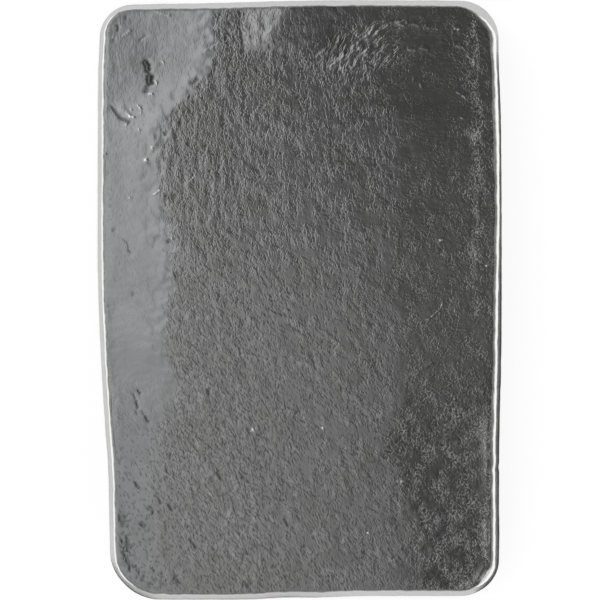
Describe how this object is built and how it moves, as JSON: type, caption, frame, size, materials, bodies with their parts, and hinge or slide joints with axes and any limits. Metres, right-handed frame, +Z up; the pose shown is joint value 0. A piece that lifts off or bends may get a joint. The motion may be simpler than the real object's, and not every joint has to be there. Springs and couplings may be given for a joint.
{
  "type": "metal ingot",
  "caption": "Flat cast silver ingot: a rounded rectangular block with leaning walls, softly rolled upper edges, a round lower brim and an orange-peel upper face.",
  "frame": {"origin": "middle of the underside's box, on the plane that the ingot rests on", "axes": "+Z up through the thickness, from the poured face to the mould-floor face; +Y along the length, towards the bowed end; +X along the width, away from the side that tapers"},
  "size_m": [0.0674, 0.1, 0.0155],
  "materials": {
    "cast_silver": "satin"
  },
  "bodies": {
    "root": {"ingot": "cast_silver"}
  },
  "joints": []
}
